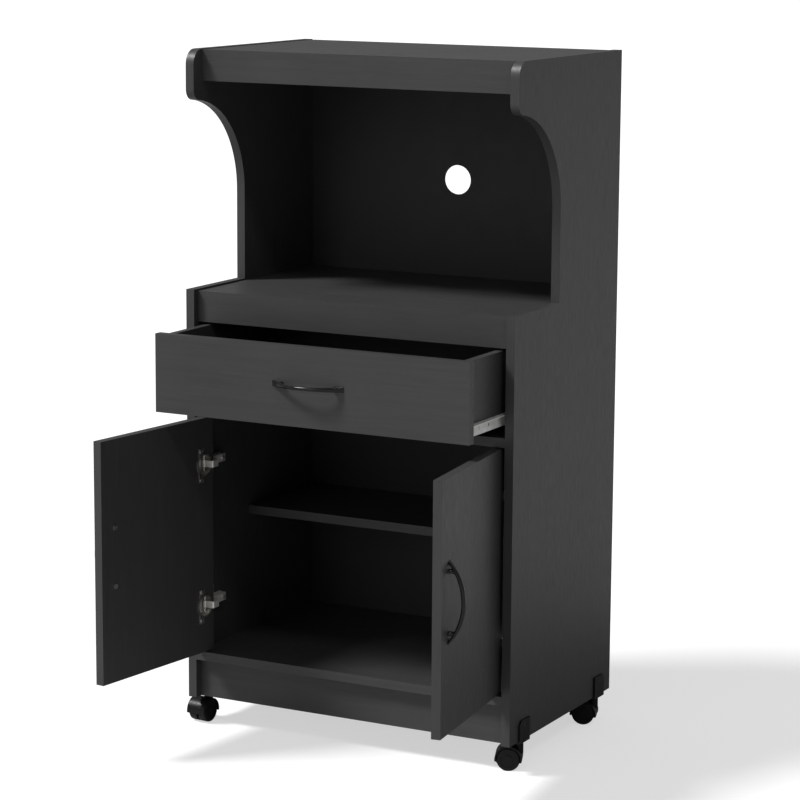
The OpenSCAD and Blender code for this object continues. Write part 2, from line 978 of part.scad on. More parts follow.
// Screw holes or screws of a handle centred on the origin, behind the face it stands on
module handle_screws(grow) {
  for (x = [-handle_screw_spacing / 2, handle_screw_spacing / 2]) {
    rod_y([x, -handle_screw_grip, 0], handle_screw_d / 2 + grow, handle_screw_grip + board_t);
    if (grow == 0)
      difference() {
        rod_y([x, board_t, 0], handle_screw_d, handle_screw_d / 2);
        translate([x, board_t + handle_screw_d / 2, 0])
          rotate([0, 0, 90])
            cross_recess();
      }
  }
}

module drawer_handle_place() {
  translate([0, front_y, drawer_handle_z])
    children();
}

module drawer_front() {
  color(laminate)
    drawer_place()
      difference() {
        box([-inner_x + front_gap, front_y, drawer_front_z0], [inner_x - front_gap, box_y0, drawer_front_z1]);
        drawer_bottom_slab(slide_fit, drill_fit);
        drawer_handle_place()
          handle_screws(drill_fit);
        for (side = [-1, 1])
          on_side(side)
            drawer_cam_holes();
      }
}

module drawer_side_blank() {
  difference() {
    box([-box_x, box_y0, box_z0], [-box_x + drawer_board_t, box_y1, box_z1]);
    drawer_bottom_slab(slide_fit, drill_fit);
    runner_screw_places()
      drawer_screw_x(drill_fit);
    drawer_back_screws(drill_fit);
    drawer_cam_holes();
  }
}

module drawer_side_left() {
  color(laminate)
    drawer_place()
      drawer_side_blank();
}

module drawer_side_right() {
  color(laminate)
    drawer_place()
      on_side(1)
        drawer_side_blank();
}

module drawer_back() {
  color(laminate)
    drawer_place()
      difference() {
        box([-box_x + drawer_board_t, box_y1 - drawer_board_t, drawer_back_z0 + slide_fit],
          [box_x - drawer_board_t, box_y1, box_z1]);
        for (side = [-1, 1])
          on_side(side)
            drawer_back_screws(drill_fit);
      }
}

module drawer_bottom() {
  color(hardboard)
    drawer_place()
      drawer_bottom_slab(0, 0);
}

module drawer_runner_left() {
  color(white_steel)
    drawer_place()
      drawer_runner_blank();
}

module drawer_runner_right() {
  color(white_steel)
    drawer_place()
      on_side(1)
        drawer_runner_blank();
}

module runner_roller_left() {
  color(white_steel)
    drawer_place()
      runner_roller_blank();
}

module runner_roller_right() {
  color(white_steel)
    drawer_place()
      on_side(1)
        runner_roller_blank();
}

module drawer_fasteners() {
  color(zinc)
    drawer_place() {
      drawer_handle_place()
        handle_screws(0);
      for (side = [-1, 1])
        on_side(side) {
          runner_screw_places()
            drawer_screw_x(0);
          drawer_back_screws(0);
          drawer_cams();
        }
    }
}

// ---------- Handles ----------

// Radius of an arc from its half chord and its rise
function arc_r(half, rise) = (half * half + rise * rise) / (2 * rise);

// Outline of the bow seen from above, on the face y = 0, standing out towards -Y
module bow_outline() {
  outer_r = arc_r(handle_l / 2, handle_out);
  inner_rise = handle_out - handle_t;
  inner_r = arc_r(handle_l / 2 - bow_end, inner_rise);
  difference() {
    translate([0, outer_r - handle_out])
      circle(r = outer_r, $fn = 160);
    translate([0, inner_r - inner_rise])
      circle(r = inner_r, $fn = 160);
    translate([-handle_l, 0])
      square([2 * handle_l, 3 * outer_r]);
  }
}

// Outline of the bow seen from the front, narrow at its waist
module bow_face() {
  waist_r = arc_r(handle_l / 2, (handle_w - handle_waist) / 2);
  difference() {
    square([handle_l, handle_w], center = true);
    for (side = [-1, 1])
      translate([0, side * (handle_waist / 2 + waist_r)])
        circle(r = waist_r, $fn = 240);
  }
}

// A bow handle along X
module bow_handle() {
  difference() {
    union() {
      intersection() {
        translate([0, 0, -handle_w / 2])
          linear_extrude(height = handle_w)
            bow_outline();
        rotate([90, 0, 0])
          linear_extrude(height = handle_out + over)
            bow_face();
      }
      for (x = [-handle_screw_spacing / 2, handle_screw_spacing / 2])
        rod_y([x, -foot_l, 0], foot_r, foot_l);
    }
    for (x = [-handle_screw_spacing / 2, handle_screw_spacing / 2])
      rod_y([x, -handle_screw_grip - over, 0], handle_screw_d / 2 + drill_fit, handle_screw_grip + 2 * over);
  }
}

module drawer_handle() {
  color(black_plastic)
    drawer_place()
      drawer_handle_place()
        bow_handle();
}

// ---------- Doors ----------

// The left door's pieces are written closed; this swings them open by an angle
module door_place(angle) {
  translate([hinge_x, hinge_y, 0])
    rotate([0, 0, -angle])
      translate([-hinge_x, -hinge_y, 0])
        children();
}

module door_handle_place() {
  translate([door_edge_x + door_w - handle_edge, front_y, door_mid_z + handle_up])
    rotate([0, 90, 0])
      children();
}

// Places of the hinge cups, at the door's inner face
module cup_places() {
  for (z = hinge_heights)
    translate([door_edge_x + cup_edge, box_y0, z])
      children();
}

// Screws of a hinge cup, or their holes
module cup_screws(grow) {
  for (z = [-cup_screw_z, cup_screw_z]) {
    rod_y([cup_screw_x, cup_rim_t - drawer_screw_l, z], drawer_screw_d / 2 + grow, drawer_screw_l);
    if (grow == 0)
      difference() {
        rod_y([cup_screw_x, cup_rim_t, z], screw_head_d / 2, cup_head_t);
        translate([cup_screw_x, cup_rim_t + cup_head_t, z])
          rotate([0, 0, 90])
            cross_recess();
      }
  }
}

module door_blank() {
  difference() {
    box([door_edge_x, front_y, door_z0], [door_edge_x + door_w, box_y0, door_z1]);
    cup_places() {
      rod_y([0, -cup_depth - drill_fit, 0], cup_d / 2 + drill_fit, cup_depth + over);
    }
    cup_places()
      cup_screws(drill_fit);
    door_handle_place()
      handle_screws(drill_fit);
  }
}

// One hinge cup with its rim, ears and pin, centred on the cup at the door's inner face
module hinge_cup() {
  inner_r = cup_d / 2 - cup_wall;
  difference() {
    union() {
      rod_y([0, -cup_depth, 0], cup_d / 2, cup_depth);
      rod_y([0, 0, 0], cup_d / 2 + cup_rim_w, cup_rim_t);
      box([cup_ear_x - cup_ear[0] / 2, 0, -cup_ear[1] / 2], [cup_ear_x + cup_ear[0] / 2, cup_rim_t, cup_ear[1] / 2]);
    }
    rod_y([0, -cup_depth + cup_floor, 0], inner_r, cup_depth + cup_rim_t);
    cup_screws(drill_fit);
  }
  // The pin crosses the cup near its wall
  pin_x = hinge_inset - cup_edge;
  pin_half = sqrt(pow(inner_r, 2) - pow(pin_x, 2)) + cup_wall / 2;
  rod_z([pin_x, -pin_below_face, -pin_half], hinge_pin_d / 2, 2 * pin_half);
}

module door_cups() {
  cup_places()
    hinge_cup();
}

module door_screws() {
  cup_places()
    cup_screws(0);
  door_handle_place()
    handle_screws(0);
}

module door_handle() {
  door_handle_place()
    bow_handle();
}

module door_left() {
  color(laminate)
    door_place(door_left_open)
      door_blank();
}

module door_left_handle() {
  color(black_plastic)
    door_place(door_left_open)
      door_handle();
}

module door_left_hinge_cups() {
  color(zinc)
    door_place(door_left_open)
      door_cups();
}

module door_left_screws() {
  color(zinc)
    door_place(door_left_open)
      door_screws();
}

module door_right() {
  color(laminate)
    on_side(1)
      door_place(door_right_open)
        door_blank();
}

module door_right_handle() {
  color(black_plastic)
    on_side(1)
      door_place(door_right_open)
        door_handle();
}

module door_right_hinge_cups() {
  color(zinc)
    on_side(1)
      door_place(door_right_open)
        door_cups();
}

module door_right_screws() {
  color(zinc)
    on_side(1)
      door_place(door_right_open)
        door_screws();
}

// ---------- Hinge arms and plates ----------

// Places of the left hinges' axes
module hinge_places() {
  for (z = hinge_heights)
    translate([hinge_x, hinge_y, z])
      children();
}

// Cross-shaped mounting plate on the side panel
module hinge_plate() {
  difference() {
    union() {
      box([plate_x, plate_y[0], -arm_h / 2], [plate_x + plate_t, plate_y[1], arm_h / 2]);
      box([plate_x, wing_y - wing_l / 2, -wing_h / 2], [plate_x + wing_t, wing_y + wing_l / 2, wing_h / 2]);
    }
    for (z = [-wing_screw_z, wing_screw_z])
      translate([plate_x + wing_t, wing_y, z])
        euro_screw_hole();
    arm_fixing(drill_fit);
  }
}

// Screws that hold the arm to its plate, or their holes
module arm_fixing(grow) {
  for (y = arm_screws_y) {
    rod_x([plate_x + over, y, 0], arm_screw_d / 2 + grow, channel_x - plate_x - over);
    if (grow == 0)
      difference() {
        rod_x([channel_x, y, 0], arm_head_d / 2, arm_head_t);
        translate([channel_x + arm_head_t, y, 0])
          cross_recess();
      }
  }
}

// Arm: an eye on the hinge pin, a goose neck and a channel
module hinge_arm() {
  difference() {
    union() {
      // Neck in the cup
      translate([0, 0, -neck_h / 2])
        linear_extrude(height = neck_h) {
          circle(r = eye_r);
          polygon([
            [0, -arm_t / 2], [neck_x - arm_t, -arm_t / 2], [neck_x, arm_t / 2],
            [neck_x, arm_y + arm_t - neck_bend], [neck_x - neck_bend, arm_y + arm_t],
            [0, arm_y + arm_t], [0, arm_y],
            [neck_x - arm_t - neck_bend_in, arm_y], [neck_x - arm_t, arm_y - neck_bend_in],
            [neck_x - arm_t, arm_t / 2 + neck_chamfer],
            [neck_x - arm_t - neck_chamfer, arm_t / 2], [0, arm_t / 2]
          ]);
        }
      // Channel over the plate
      box([channel_x - arm_t, arm_y, -arm_h / 2], [channel_x, arm_rear, arm_h / 2]);
      for (z = [-arm_h / 2, arm_h / 2 - arm_t])
        box([plate_x + plate_t, arm_y, z], [channel_x, arm_rear, z + arm_t]);
      box([plate_x + plate_t, arm_y, -arm_h / 2], [channel_x, arm_y + arm_t, arm_h / 2]);
    }
    rod_z([0, 0, -neck_h], hinge_pin_d / 2 + run_fit, 2 * neck_h);
    arm_fixing(drill_fit);
  }
}

module hinge_plates() {
  color(zinc)
    for (side = [-1, 1])
      on_side(side)
        hinge_places()
          hinge_plate();
}

module hinge_arms() {
  color(zinc)
    for (side = [-1, 1])
      on_side(side)
        hinge_places()
          hinge_arm();
}

// ---------- Casters ----------

// Front bracket round the lower edge of the left side panel, centred on the stem
module caster_bracket() {
  x0 = -outer_x - bracket_t;
  x1 = -inner_x + bracket_t;
  half = bracket_l / 2;
  top = bracket_z0 + bracket_h;
  difference() {
    union() {
      box([x0, -half, bracket_z0], [x1, half, caster_h]);
      translate([x0, 0, 0])
        rotate([90, 0, 90])
          linear_extrude(height = bracket_t)
            polygon([
              [-half, bracket_z0], [half, bracket_z0], [half, top],
              [bracket_chamfer - half, top], [-half, top - bracket_chamfer]
            ]);
      box([x1 - bracket_t, -half, bracket_z0], [x1, half, caster_h + bracket_inner_h]);
      rod_z([-stem_x, 0, bracket_z0], socket_d / 2, caster_h - bracket_z0 + socket_l);
    }
    rod_z([-stem_x, 0, bracket_z0 - over], stem_d / 2 + run_fit, stem_top - bracket_z0 + over + slide_fit);
    translate([x0, 0, bracket_z0 + bracket_screw_up])
      rotate([0, 0, 180])
        euro_screw_hole();
  }
}

module caster_brackets() {
  color(black_plastic)
    for (side = [-1, 1])
      on_side(side) {
        translate([0, stem_y[0], 0])
          caster_bracket();
        translate([0, stem_y[1], 0])
          mirror([0, 1, 0])
            caster_bracket();
      }
}

// A caster's pieces are written about its stem, trailing towards -X; row is 0 at the
// front and 1 at the rear
module caster_place(side, row) {
  translate([side * stem_x, stem_y[row], 0])
    rotate([0, 0, caster_yaw[row][side < 0 ? 0 : 1]])
      children();
}

hood_top_z = bracket_z0 - hood_top_gap;
boss_z0 = wheel_r + hood_r / 3;

module caster_hood() {
  wheel_room_w = 2 * hood_r;
  color(black_plastic)
    difference() {
      union() {
        rod_y([-caster_trail, -hood_half_w, wheel_r], hood_r, 2 * hood_half_w);
        rod_z([0, 0, boss_z0], boss_d / 2, hood_top_z - boss_z0);
      }
      // Room for the wheels on both sides of the web
      rod_y([-caster_trail, hood_web_t / 2, wheel_r], hood_r - hood_t, wheel_room_w);
      rod_y([-caster_trail, -hood_web_t / 2 - wheel_room_w, wheel_r], hood_r - hood_t, wheel_room_w);
      // Open under the shell and under the web
      for (side = [-1, 1])
        mirror([0, side < 0 ? 1 : 0, 0])
          box([-caster_trail - wheel_room_w, hood_web_t / 2, -wheel_r],
            [-caster_trail + wheel_room_w, wheel_room_w, wheel_r - hood_low]);
      box([-caster_trail - wheel_room_w, -hood_web_t, -wheel_r],
        [-caster_trail + wheel_room_w, hood_web_t, wheel_r / 2]);
      // Axle and stem holes
      rod_y([-caster_trail, -hood_web_t, wheel_r], axle_d / 2 + drill_fit, 2 * hood_web_t);
      rod_z([0, 0, hood_top_z - stem_in_hood], stem_d / 2 + drill_fit, stem_in_hood + over);
    }
}

// One wheel, from the web outwards along +Y
module caster_wheel() {
  face_y = hood_web_t / 2 + wheel_gap;
  translate([-caster_trail, face_y, wheel_r])
    rotate([-90, 0, 0])
      difference() {
        rotate_extrude($fn = 96) {
          difference() {
            square([wheel_r, wheel_w]);
            translate([wheel_r - wheel_edge_r, wheel_w - wheel_edge_r])
              square([wheel_edge_r + over, wheel_edge_r + over]);
            translate([wheel_r * 0.35, wheel_w - 1.2])
              square([wheel_r * 0.35, 2]);
          }
          translate([wheel_r - wheel_edge_r, wheel_w - wheel_edge_r])
            intersection() {
              circle(r = wheel_edge_r);
              square(wheel_edge_r);
            }
        }
        translate([0, 0, -over])
          cylinder(r = axle_d / 2 + run_fit, h = wheel_w - wheel_face_t + over);
      }
}

module caster_wheels() {
  color(black_plastic) {
    caster_wheel();
    mirror([0, 1, 0])
      caster_wheel();
  }
}

module caster_pins() {
  axle_half = hood_web_t / 2 + wheel_gap + wheel_w - wheel_face_t - slide_fit;
  color(zinc) {
    rod_y([-caster_trail, -axle_half, wheel_r], axle_d / 2, 2 * axle_half);
    rod_z([0, 0, hood_top_z - stem_in_hood + slide_fit], stem_d / 2, stem_top - hood_top_z + stem_in_hood - slide_fit);
  }
}

module caster_hood_front_left() {
  caster_place(-1, 0)
    caster_hood();
}

module caster_hood_front_right() {
  caster_place(1, 0)
    caster_hood();
}

module caster_hood_rear_left() {
  caster_place(-1, 1)
    caster_hood();
}

module caster_hood_rear_right() {
  caster_place(1, 1)
    caster_hood();
}

module caster_wheels_front_left() {
  caster_place(-1, 0)
    caster_wheels();
}

module caster_wheels_front_right() {
  caster_place(1, 0)
    caster_wheels();
}

module caster_wheels_rear_left() {
  caster_place(-1, 1)
    caster_wheels();
}

module caster_wheels_rear_right() {
  caster_place(1, 1)
    caster_wheels();
}

module caster_pins_front_left() {
  caster_place(-1, 0)
    caster_pins();
}

module caster_pins_front_right() {
  caster_place(1, 0)
    caster_pins();
}

module caster_pins_rear_left() {
  caster_place(-1, 1)
    caster_pins();
}

module caster_pins_rear_right() {
  caster_place(1, 1)
    caster_pins();
}

// ---------- Drawing ----------

base_side_left();
base_side_right();
worktop();
worktop_apron();
divider_panel();
cabinet_shelf();
shelf_pins();
cabinet_floor();
plinth_front();
rear_rail();
cabinet_back();
hutch_side_left();
hutch_side_right();
hutch_top();
hutch_apron();
hutch_back();
cam_bolts();
cam_locks();
wood_dowels();
back_nails();
caster_brackets();
bracket_screws();
hinge_plates();
hinge_arms();
cabinet_screws();
slide_channel_left();
slide_channel_right();
drawer_front();
drawer_side_left();
drawer_side_right();
drawer_back();
drawer_bottom();
drawer_runner_left();
drawer_runner_right();
drawer_handle();
drawer_fasteners();
channel_roller_left();
channel_roller_right();
runner_roller_left();
runner_roller_right();
door_left();
door_left_handle();
door_left_hinge_cups();
door_left_screws();
door_right();
door_right_handle();
door_right_hinge_cups();
door_right_screws();
caster_hood_front_left();
caster_wheels_front_left();
caster_pins_front_left();
caster_hood_front_right();
caster_wheels_front_right();
caster_pins_front_right();
caster_hood_rear_left();
caster_wheels_rear_left();
caster_pins_rear_left();
caster_hood_rear_right();
caster_wheels_rear_right();
caster_pins_rear_right();
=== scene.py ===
"""Looks of the kitchen storage cart: materials, rounded edges, bow handles, light and camera."""
import math

import bmesh
import bpy
from mathutils import Matrix, Vector


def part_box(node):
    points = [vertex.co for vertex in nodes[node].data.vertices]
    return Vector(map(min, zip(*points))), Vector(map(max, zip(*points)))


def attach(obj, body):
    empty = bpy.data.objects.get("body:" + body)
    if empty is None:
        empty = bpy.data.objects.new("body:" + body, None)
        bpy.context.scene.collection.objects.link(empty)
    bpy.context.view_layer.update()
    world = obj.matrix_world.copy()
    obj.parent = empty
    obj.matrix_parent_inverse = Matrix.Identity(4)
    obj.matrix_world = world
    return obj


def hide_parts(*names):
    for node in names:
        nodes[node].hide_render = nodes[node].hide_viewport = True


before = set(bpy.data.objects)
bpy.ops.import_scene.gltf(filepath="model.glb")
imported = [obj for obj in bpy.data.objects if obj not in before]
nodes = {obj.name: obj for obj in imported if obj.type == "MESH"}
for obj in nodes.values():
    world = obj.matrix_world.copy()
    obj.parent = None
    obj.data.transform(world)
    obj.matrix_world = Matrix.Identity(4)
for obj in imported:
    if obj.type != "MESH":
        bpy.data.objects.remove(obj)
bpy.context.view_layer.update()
MM = 0.001


# ---------- Camera ----------

# The view: from the front right, a little above, through a long lens
VIEW_AZIMUTH = 27.90
VIEW_ELEVATION = 10.23
VIEW_ROLL = 0.38
VIEW_DISTANCE = 4.7394
VIEW_LENS = 127.89
VIEW_AIM = Vector((-0.0042, -0.0022, 0.5538))


def view_axes(azimuth, elevation, roll):
    """Right, up and backward directions of a camera that looks at the object."""
    a, e, r = (math.radians(v) for v in (azimuth, elevation, roll))
    back = Vector((math.sin(a) * math.cos(e), -math.cos(a) * math.cos(e), math.sin(e)))
    right = Vector((math.cos(a), math.sin(a), 0.0))
    up = back.cross(right)
    return (right * math.cos(r) + up * math.sin(r), up * math.cos(r) - right * math.sin(r), back)


def make_camera():
    """Camera at the chosen view."""
    right, up, back = view_axes(VIEW_AZIMUTH, VIEW_ELEVATION, VIEW_ROLL)
    data = bpy.data.cameras.new("view_camera")
    data.lens = VIEW_LENS
    data.sensor_width = 36.0
    data.clip_end = 100.0
    camera = bpy.data.objects.new("view_camera", data)
    bpy.context.scene.collection.objects.link(camera)
    camera.matrix_world = Matrix.Translation(VIEW_AIM + back * VIEW_DISTANCE) @ Matrix((
        (right.x, up.x, back.x, 0.0), (right.y, up.y, back.y, 0.0),
        (right.z, up.z, back.z, 0.0), (0.0, 0.0, 0.0, 1.0)))
    bpy.context.scene.camera = camera


# ---------- Material building blocks ----------

class Nodes:
    """A material's node tree, with short calls for the nodes used here."""

    def __init__(self, name):
        self.material = bpy.data.materials.new(name)
        self.material.use_nodes = True
        self.tree = self.material.node_tree
        self.shader = self.tree.nodes["Principled BSDF"]
        self.place = self.add("ShaderNodeTexCoord").outputs["Object"]

    def add(self, kind, **settings):
        node = self.tree.nodes.new(kind)
        for key, value in settings.items():
            setattr(node, key, value)
        return node

    def link(self, source, target):
        self.tree.links.new(source, target)

    def stretched(self, scale):
        """Object coordinates scaled by three factors, per metre."""
        mapping = self.add("ShaderNodeMapping")
        mapping.inputs["Scale"].default_value = scale
        self.link(self.place, mapping.inputs["Vector"])
        return mapping.outputs["Vector"]

    def noise(self, scale, detail=4.0, rough=0.55, distortion=0.0):
        """Noise of so many waves per metre along each axis."""
        node = self.add("ShaderNodeTexNoise")
        node.inputs["Scale"].default_value = 1.0
        node.inputs["Detail"].default_value = detail
        node.inputs["Roughness"].default_value = rough
        node.inputs["Distortion"].default_value = distortion
        self.link(self.stretched(scale), node.inputs["Vector"])
        return node.outputs["Fac"]

    def ramp(self, factor, low, high, colour_low, colour_high):
        """Colour that runs from one to the other while the factor goes from low to high."""
        node = self.add("ShaderNodeValToRGB")
        node.color_ramp.elements[0].position = low
        node.color_ramp.elements[1].position = high
        node.color_ramp.elements[0].color = (*colour_low, 1.0)
        node.color_ramp.elements[1].color = (*colour_high, 1.0)
        self.link(factor, node.inputs["Fac"])
        return node.outputs["Color"]

    def span(self, factor, low, high):
        """The factor's middle range mapped to low..high."""
        node = self.add("ShaderNodeMapRange")
        node.inputs["From Min"].default_value = 0.3
        node.inputs["From Max"].default_value = 0.7
        node.inputs["To Min"].default_value = low
        node.inputs["To Max"].default_value = high
        self.link(factor, node.inputs["Value"])
        return node.outputs["Result"]

    def mix(self, factor, first, second):
        """Colour between two colours, at a fixed factor."""
        node = self.add("ShaderNodeMix", data_type="RGBA")
        node.inputs[0].default_value = factor
        self.link(first, node.inputs[6])
        self.link(second, node.inputs[7])
        return node.outputs[2]

    def bump(self, height, strength, distance, after=None):
        """Normal bent by a height, on top of another normal if one is given."""
        node = self.add("ShaderNodeBump")
        node.inputs["Strength"].default_value = strength
        node.inputs["Distance"].default_value = distance
        self.link(height, node.inputs["Height"])
        if after is not None:
            self.link(after, node.inputs["Normal"])
        return node.outputs["Normal"]

    def set(self, **values):
        """Sockets of the shader: a number or colour is set, an output is linked."""
        for key, value in values.items():
            socket = self.shader.inputs[key.replace("_", " ")]
            if isinstance(value, bpy.types.NodeSocket):
                self.link(value, socket)
            else:
                socket.default_value = value
        return self.material


def along(axis, fine, coarse):
    """Scale factors of a grain that runs along one axis: 0 for X, 1 for Y, 2 for Z."""
    return tuple(coarse if i == axis else fine for i in range(3))


def laminate(name, axis):
    """Black melamine board: faint wood grain along one axis, satin, with fine pores."""
    n = Nodes(name)
    cloud = n.noise((5.0, 5.0, 5.0), detail=3.0)
    grain = n.noise(along(axis, 620.0, 16.0), detail=6.0, rough=0.6, distortion=0.3)
    streak = n.noise(along(axis, 95.0, 3.5), detail=4.0, rough=0.5, distortion=0.8)
    pores = n.noise(along(axis, 2600.0, 240.0), detail=2.0)
    dark = n.ramp(streak, 0.30, 0.72, (0.0310, 0.0303, 0.0308), (0.0470, 0.0455, 0.0458))
    light = n.ramp(grain, 0.35, 0.75, (0.0330, 0.0322, 0.0325), (0.0570, 0.0550, 0.0552))
    body = n.mix(0.45, dark, light)
    patch = n.ramp(cloud, 0.35, 0.65, (0.0320, 0.0314, 0.0318), (0.0520, 0.0504, 0.0506))
    clouded = n.mix(0.25, body, patch)
    normal = n.bump(pores, 0.14, 0.00012, n.bump(grain, 0.10, 0.00018))
    sheen = n.span(n.noise(along(axis, 260.0, 40.0), detail=3.0), 0.40, 0.52)
    return n.set(Base_Color=clouded, Roughness=sheen, Normal=normal, Specular_IOR_Level=0.42)


def hardboard(name):
    """Thin black foiled hardboard: soft mottling and a fibrous surface."""
    n = Nodes(name)
    mottle = n.noise((38.0, 38.0, 38.0), detail=5.0, distortion=0.6)
    fibre = n.noise((900.0, 900.0, 420.0), detail=3.0)
    colour = n.mix(0.4, n.ramp(mottle, 0.3, 0.7, (0.0125, 0.0125, 0.0127), (0.0200, 0.0198, 0.0198)),
                   n.ramp(fibre, 0.3, 0.7, (0.0115, 0.0115, 0.0115), (0.0210, 0.0208, 0.0206)))
    return n.set(Base_Color=colour, Roughness=n.span(mottle, 0.50, 0.62),
                 Normal=n.bump(fibre, 0.18, 0.00015), Specular_IOR_Level=0.40)


def zinc_tone(level, shade):
    """Slightly yellow grey of the plating."""
    return tuple(level * shade * part for part in (1.0, 0.985, 0.93))


def zinc(name, metal, shade):
    """Zinc-plated steel: cloudy, finely scratched."""
    n = Nodes(name)
    cloud = n.noise((210.0, 210.0, 210.0), detail=4.0, distortion=0.5)
    scratch = n.noise((420.0, 5200.0, 420.0), detail=3.0)
    colour = n.mix(0.35, n.ramp(cloud, 0.3, 0.7, zinc_tone(0.78, shade), zinc_tone(1.0, shade)),
                   n.ramp(scratch, 0.3, 0.7, zinc_tone(0.70, shade), zinc_tone(1.05, shade)))
    return n.set(Base_Color=colour, Metallic=metal, Roughness=n.span(scratch, 0.32, 0.48),
                 Normal=n.bump(scratch, 0.12, 0.00006))


def powder_coat(name):
    """White powder-coated steel with its orange-peel skin."""
    n = Nodes(name)
    peel = n.noise((1500.0, 1500.0, 1500.0), detail=2.0)
    tone = n.noise((60.0, 60.0, 60.0), detail=4.0)
    return n.set(Base_Color=n.ramp(tone, 0.3, 0.7, (0.60, 0.60, 0.585), (0.74, 0.74, 0.725)),
                 Roughness=n.span(peel, 0.30, 0.42), Normal=n.bump(peel, 0.22, 0.00010))


def nylon(name, low, high, shine):
    """Moulded nylon: a fine eroded texture and a faint flow pattern."""
    n = Nodes(name)
    flow = n.noise((120.0, 120.0, 260.0), detail=4.0, distortion=1.2)
    skin = n.noise((3200.0, 3200.0, 3200.0), detail=2.0)
    return n.set(Base_Color=n.ramp(flow, 0.3, 0.7, low, high), Roughness=n.span(flow, 0.30, 0.42),
                 Normal=n.bump(skin, 0.20, 0.00008), Specular_IOR_Level=shine)


def gloss_black(name):
    """Gloss black handle: lacquered, with the slightest waviness."""
    n = Nodes(name)
    wave = n.noise((70.0, 70.0, 70.0), detail=2.0)
    dust = n.noise((1900.0, 1900.0, 1900.0), detail=3.0)
    return n.set(Base_Color=n.ramp(dust, 0.3, 0.75, (0.0045, 0.0045, 0.0048), (0.0075, 0.0075, 0.0078)),
                 Roughness=n.span(dust, 0.14, 0.22), Normal=n.bump(wave, 0.05, 0.0004),
                 Specular_IOR_Level=0.30, Coat_Weight=0.1, Coat_Roughness=0.08)


def birch(name):
    """Fluted birch dowel."""
    n = Nodes(name)
    ring = n.noise((45.0, 900.0, 900.0), detail=5.0, distortion=0.4)
    return n.set(Base_Color=n.ramp(ring, 0.3, 0.7, (0.42, 0.27, 0.13), (0.66, 0.48, 0.28)),
                 Roughness=n.span(ring, 0.55, 0.70), Normal=n.bump(ring, 0.25, 0.0002))


def dark_screw(name):
    """Black-oxide screw."""
    n = Nodes(name)
    cloud = n.noise((300.0, 300.0, 300.0), detail=4.0)
    return n.set(Base_Color=n.ramp(cloud, 0.3, 0.7, (0.030, 0.030, 0.032), (0.060, 0.060, 0.062)),
                 Metallic=0.8, Roughness=n.span(cloud, 0.30, 0.45))


# ---------- Materials on the frame's nodes ----------

def dress(name, material):
    """Give a node its material."""
    mesh = nodes[name].data
    mesh.materials.clear()
    mesh.materials.append(material)
    for face in mesh.polygons:
        face.material_index = 0


def soften(name, width, segments=2):
    """Round a node's sharp edges a little."""
    bevel = nodes[name].modifiers.new("edge_round", "BEVEL")
    bevel.width = width
    bevel.segments = segments
    bevel.limit_method = "ANGLE"
    bevel.angle_limit = math.radians(50.0)
    bevel.harden_normals = False
    bevel.use_clamp_overlap = True


board_x = laminate("laminate_grain_x", 0)
board_z = laminate("laminate_grain_z", 2)
backing = hardboard("hardboard_black")
plated = zinc("zinc_plate", 1.0, 0.66)
# Same zinc plating again, made lighter and less metallic: painted light, standing in for the light the
# hinge arms and plates catch
zinc_painted_lighter = zinc("zinc_painted_lighter_copy", 0.5, 0.88)
coated = powder_coat("slide_coat")
white_nylon = nylon("roller_nylon", (0.55, 0.55, 0.53), (0.68, 0.68, 0.66), 0.45)
black_nylon = nylon("caster_nylon", (0.0040, 0.0040, 0.0042), (0.0075, 0.0075, 0.0077), 0.22)
tread = nylon("wheel_nylon", (0.0045, 0.0045, 0.0047), (0.0085, 0.0085, 0.0087), 0.22)
gloss = gloss_black("handle_gloss")
dowel = birch("dowel_birch")
oxide = dark_screw("screw_oxide")

# Boards by the way their grain runs
UPRIGHT = ("base_side_left", "base_side_right", "hutch_side_left", "hutch_side_right",
           "door_left", "door_right")
LEVEL = ("worktop", "worktop_apron", "divider_panel", "cabinet_shelf", "cabinet_floor", "plinth_front",
         "rear_rail", "hutch_top", "hutch_apron", "drawer_front", "drawer_side_left", "drawer_side_right",
         "drawer_back")
BACKS = ("cabinet_back", "hutch_back", "drawer_bottom")
# Boards with an eased front edge
EASED = ("worktop_apron", "hutch_apron", "drawer_front")
EASED_ROUND = 1.6 * MM
BOARD_ROUND = 0.7 * MM
MOULDED_ROUND = 0.6 * MM
PRESSED_ROUND = 0.25 * MM

for name in nodes:
    if name in UPRIGHT:
        dress(name, board_z)
    elif name in LEVEL:
        dress(name, board_x)
    elif name in BACKS:
        dress(name, backing)
    elif "roller" in name:
        dress(name, white_nylon)
    elif name.startswith(("slide_channel", "drawer_runner")):
        dress(name, coated)
    elif name.endswith("_handle"):
        dress(name, gloss)
    elif name.startswith("caster_wheels"):
        dress(name, tread)
    elif name.startswith(("caster_hood", "caster_brackets")):
        dress(name, black_nylon)
    elif name == "wood_dowels":
        dress(name, dowel)
    # Hinge arms and plates take the lighter copy of the zinc, whose extra brightness is painted light
    elif name.startswith(("hinge_arms", "hinge_plates")):
        dress(name, zinc_painted_lighter)
    elif name == "bracket_screws":
        dress(name, oxide)
    else:
        dress(name, plated)

for name in UPRIGHT + LEVEL:
    if name in EASED:
        soften(name, EASED_ROUND, 3)
    else:
        soften(name, BOARD_ROUND)
for name in nodes:
    if name.startswith("caster_hood") or name == "caster_brackets":
        soften(name, MOULDED_ROUND)
    elif name.startswith(("hinge_arms", "hinge_plates")) or "hinge_cups" in name:
        soften(name, PRESSED_ROUND)


# ---------- Bow handles ----------

low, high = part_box("drawer_handle")
BOW_HALF = (high.x - low.x) / 2
BOW_OUT = high.y - low.y
BOW_WIDTH = high.z - low.z
BOW_WAIST = 6.0 * MM
BOW_THICK = 7.0 * MM
# Length of the solid tip at each end
BOW_TIP = 6.0 * MM
BOW_INNER_HALF = BOW_HALF - BOW_TIP
